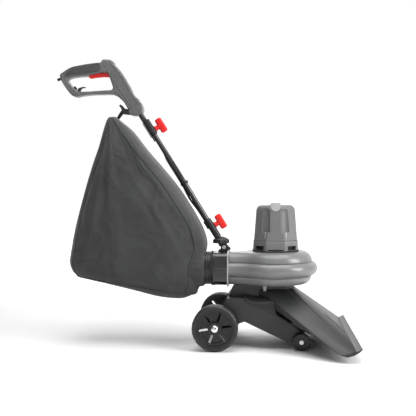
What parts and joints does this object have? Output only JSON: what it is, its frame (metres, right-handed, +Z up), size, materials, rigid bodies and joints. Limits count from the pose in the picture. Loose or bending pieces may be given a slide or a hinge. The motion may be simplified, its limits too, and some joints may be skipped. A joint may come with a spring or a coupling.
{
  "type": "leaf vacuum mulcher",
  "caption": "Push-along leaf vacuum mulcher: wide wheeled floor nozzle, scroll fan under a motor tower, side outlet into a hanging bag, and a two-part push handle with a D-grip.",
  "frame": {"origin": "on the ground, at the middle of the machine's box seen from above", "axes": "+X forwards to the nozzle, +Y to the machine's left, +Z up"},
  "size_m": [1.094, 0.59, 1.0386],
  "materials": {
    "charcoal_plastic": "satin moulded",
    "hood_plastic": "fine grain moulded",
    "lip_plastic": "satin",
    "badge_plastic": "plain dark gloss",
    "steel": "bright drawn",
    "chrome_cap": "polished",
    "rim_plastic": "satin black",
    "tyre": "fine tread",
    "strap_grey": "light grey satin",
    "black_plastic": "satin black",
    "silver_plastic": "silver grey satin",
    "aluminium": "die cast",
    "copper_winding": "varnished winding",
    "brass": "plain",
    "laminations": "varnished laminations",
    "motor_grey": "grey satin",
    "gloss_black": "gloss black",
    "bag_cloth": "charcoal woven polyester",
    "webbing": "black webbing",
    "tube_paint": "black gloss powder coat",
    "lead_rubber": "smooth black sheath",
    "red_plastic": "red satin",
    "grip_plastic": "mid grey fine grain",
    "grip_rubber": "soft dark grey"
  },
  "bodies": {
    "machine": {"chassis": "charcoal_plastic", "nozzle_hood": "hood_plastic", "front_lip": "lip_plastic", "hood_badge": "badge_plastic", "main_axle": "steel", "axle_caps": "chrome_cap", "front_wheel_bolts": "steel", "housing_clips": "strap_grey", "inlet_ring": "black_plastic", "fan_housing_lower": "silver_plastic", "fan_housing_upper": "silver_plastic", "stator": "laminations", "brush_holders": "brass", "bearings": "steel", "motor_plate": "aluminium", "motor_base": "motor_grey", "motor_cover": "motor_grey", "cover_strap": "strap_grey", "cover_screws": "steel", "outlet_flange": "strap_grey", "outlet_duct": "gloss_black", "outlet_ring": "black_plastic", "bag_collar": "black_plastic", "bag": "bag_cloth", "foot_bracket": "black_plastic", "foot_bolt": "steel"},
    "wheel_left": {"wheel_rim_left": "rim_plastic", "tyre_left": "tyre"},
    "wheel_right": {"wheel_rim_right": "rim_plastic", "tyre_right": "tyre"},
    "front_wheel_left": {"front_wheel_left": "rim_plastic"},
    "front_wheel_right": {"front_wheel_right": "rim_plastic"},
    "rotor": {"impeller": "aluminium", "mulching_blade": "steel", "blade_nut": "steel", "motor_shaft": "steel", "armature": "copper_winding", "commutator": "brass", "cooling_fan": "black_plastic"},
    "handle_upper": {"bag_strap": "webbing", "upper_tube": "tube_paint", "tube_plug": "black_plastic", "grip_left": "grip_plastic", "grip_right": "grip_plastic", "grip_cover": "grip_rubber", "cord_gland": "black_plastic", "cord_hook": "black_plastic", "bag_hook": "charcoal_plastic", "grip_switch": "black_plastic", "grip_screws": "steel"},
    "handle_lower": {"pivot_dome": "black_plastic", "tube_socket": "black_plastic", "lower_tube": "tube_paint", "lead_clip": "black_plastic", "power_lead": "lead_rubber", "clamp_bracket": "black_plastic"},
    "lower_knob": {"lower_knob": "red_plastic"},
    "upper_knob": {"upper_knob": "red_plastic"},
    "trigger": {"trigger": "red_plastic"},
    "lock_button": {"lock_button": "black_plastic"}
  },
  "joints": [
    {"name": "wheel_left_spin", "type": "hinge", "parent": "machine", "child": "wheel_left", "pos_m": [0.058, 0.142, 0.08], "axis": [0, 1, 0], "continuous": true},
    {"name": "wheel_right_spin", "type": "hinge", "parent": "machine", "child": "wheel_right", "pos_m": [0.058, -0.142, 0.08], "axis": [0, 1, 0], "continuous": true},
    {"name": "front_wheel_left_spin", "type": "hinge", "parent": "machine", "child": "front_wheel_left", "pos_m": [0.357, 0.125, 0.031], "axis": [0, 1, 0], "continuous": true},
    {"name": "front_wheel_right_spin", "type": "hinge", "parent": "machine", "child": "front_wheel_right", "pos_m": [0.357, -0.125, 0.031], "axis": [0, 1, 0], "continuous": true},
    {"name": "rotor_spin", "type": "hinge", "parent": "machine", "child": "rotor", "pos_m": [0.268, 0, 0.3], "axis": [0, 0, 1], "continuous": true},
    {"name": "handle_tilt", "type": "hinge", "parent": "machine", "child": "handle_lower", "pos_m": [0.081, -0.01, 0.35], "axis": [0, 1, 0], "range_deg": [0, 15]},
    {"name": "handle_height", "type": "slide", "parent": "handle_lower", "child": "handle_upper", "axis": [-0.5299, 0, 0.848], "range_m": [-0.005, 0.014]},
    {"name": "lower_knob_turn", "type": "hinge", "parent": "handle_lower", "child": "lower_knob", "pos_m": [0.0467, -0.01, 0.43046], "axis": [0.848, 0, 0.5299], "range_deg": [-180, 180]},
    {"name": "upper_knob_turn", "type": "hinge", "parent": "handle_lower", "child": "upper_knob", "pos_m": [-0.17462, 0, 0.78389], "axis": [0.848, 0, 0.5299], "range_deg": [-180, 180]},
    {"name": "trigger_pull", "type": "hinge", "parent": "handle_upper", "child": "trigger", "pos_m": [-0.34736, 0.011, 0.98634], "axis": [0, 1, 0], "range_deg": [0, 6], "stiffness_Nm_per_rad": 3, "springref_deg": -2.86},
    {"name": "lock_button_press", "type": "slide", "parent": "handle_upper", "child": "lock_button", "axis": [-0.7431, 0, -0.6691], "range_m": [0, 0.0025], "stiffness_N_per_m": 600, "springref_m": -0.001}
  ]
}
